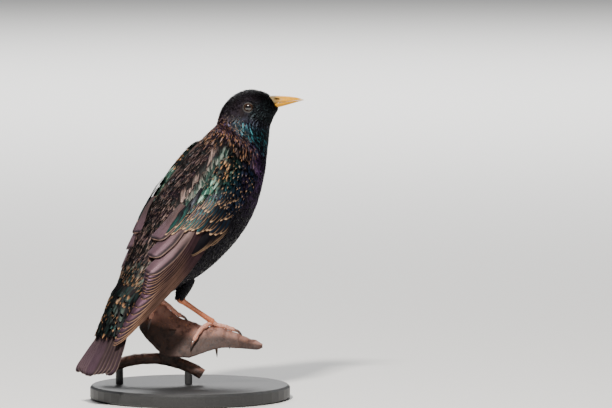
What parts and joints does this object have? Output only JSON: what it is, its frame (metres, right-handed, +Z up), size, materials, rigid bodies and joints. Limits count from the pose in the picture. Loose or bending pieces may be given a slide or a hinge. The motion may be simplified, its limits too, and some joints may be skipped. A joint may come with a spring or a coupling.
{
  "type": "starling model",
  "caption": "Life-size starling standing on a short cut piece of wrought iron, head turned to its right, held by rods on a round display base.",
  "frame": {"origin": "centre of the display base's underside, on the floor", "axes": "+X the way the bird's body faces, +Y to the bird's left, +Z up"},
  "size_m": [0.1389, 0.116, 0.178],
  "materials": {
    "brown_plumage": "brown-black flight feathers with a low sheen",
    "claw_horn": "dark horn",
    "dark_plumage": "close dark plumage with a soft gloss",
    "eye_gloss": "polished dark brown",
    "leg_skin": "scaled orange-pink skin",
    "rusty_iron": "weathered, rusted wrought iron",
    "stand_black": "plain matt black",
    "yellow_horn": "smooth yellow horn"
  },
  "bodies": {
    "root": {"bill_lower": "yellow_horn", "bill_upper": "yellow_horn", "claw_left_1": "claw_horn", "claw_left_2": "claw_horn", "claw_left_3": "claw_horn", "claw_left_4": "claw_horn", "claw_right_1": "claw_horn", "claw_right_2": "claw_horn", "claw_right_3": "claw_horn", "claw_right_4": "claw_horn", "eye_left": "eye_gloss", "eye_right": "eye_gloss", "foot_left": "leg_skin", "foot_right": "leg_skin", "head": "dark_plumage", "neck": "dark_plumage", "perch_bar": "rusty_iron", "perch_leaf": "rusty_iron", "stand_base": "stand_black", "stand_rod_1": "stand_black", "stand_rod_2": "stand_black", "tail": "brown_plumage", "tarsus_left": "leg_skin", "tarsus_right": "leg_skin", "thigh_left": "dark_plumage", "thigh_right": "dark_plumage", "torso": "dark_plumage", "wing_left": "brown_plumage", "wing_right": "brown_plumage"}
  },
  "joints": []
}
